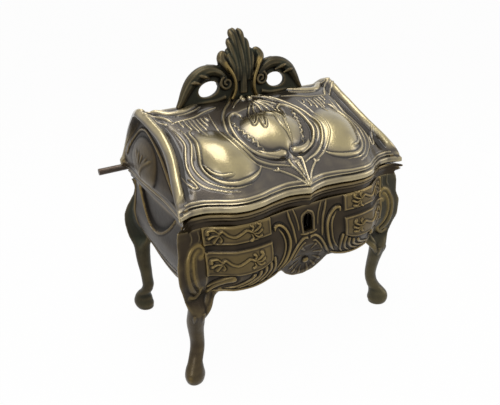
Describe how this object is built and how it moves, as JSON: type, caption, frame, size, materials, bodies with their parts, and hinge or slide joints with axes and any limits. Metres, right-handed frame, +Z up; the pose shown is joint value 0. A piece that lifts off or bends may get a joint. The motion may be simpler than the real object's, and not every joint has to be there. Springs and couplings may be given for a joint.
{
  "type": "jewellery casket",
  "caption": "Small cast brass jewellery casket shaped as a rococo commode: domed hinged lid with an openwork crest, serpentine front with a lock, cabriole legs.",
  "frame": {"origin": "middle of the bounding box at the feet, which is 4.1 mm right of and 3.8 mm in front of the casket's own middle, because the hinge pin stands out at the left and the knuckles at the back", "axes": "+Z up, front with the keyhole towards -Y, width along X"},
  "size_m": [0.1576, 0.1064, 0.18],
  "materials": {
    "patinated_brass": "cast, dark patina rubbed back to gold on the raised parts",
    "steel": "satin",
    "dark_iron": "dark, worn",
    "velvet": "short pile"
  },
  "bodies": {
    "case": {"front_panel": "patinated_brass", "back_panel": "patinated_brass", "side_panel_left": "patinated_brass", "side_panel_right": "patinated_brass", "leg_front_left": "patinated_brass", "leg_front_right": "patinated_brass", "leg_back_left": "patinated_brass", "leg_back_right": "patinated_brass", "rim_frame": "patinated_brass", "base_plate": "patinated_brass", "base_screw_front_left": "steel", "base_screw_front_right": "steel", "base_screw_back_left": "steel", "base_screw_back_right": "steel", "lock_screw_left": "steel", "lock_screw_right": "steel", "lock_case": "steel", "lock_cover": "steel", "floor_pad": "velvet", "wall_pad_front": "velvet", "wall_pad_back": "velvet", "wall_pad_left": "velvet", "wall_pad_right": "velvet"},
    "lid": {"lid_dome": "patinated_brass", "lid_end_left": "patinated_brass", "lid_end_right": "patinated_brass", "crest": "patinated_brass", "crest_screw_left": "steel", "crest_screw_right": "steel", "lock_staple": "steel", "lid_lining": "velvet"},
    "hinge_pin": {"hinge_pin": "dark_iron"},
    "lock_bolt": {"lock_bolt": "steel"}
  },
  "joints": [
    {"name": "lid_hinge", "type": "hinge", "parent": "case", "child": "lid", "pos_m": [0.00407, 0.04981, 0.1008], "axis": [-1, 0, 0], "range_deg": [0, 100]},
    {"name": "hinge_pin_slide", "type": "slide", "parent": "case", "child": "hinge_pin", "axis": [1, 0, 0], "range_m": [0, 0.015]},
    {"name": "lock_bolt_slide", "type": "slide", "parent": "case", "child": "lock_bolt", "axis": [1, 0, 0], "range_m": [0, 0.004]}
  ]
}
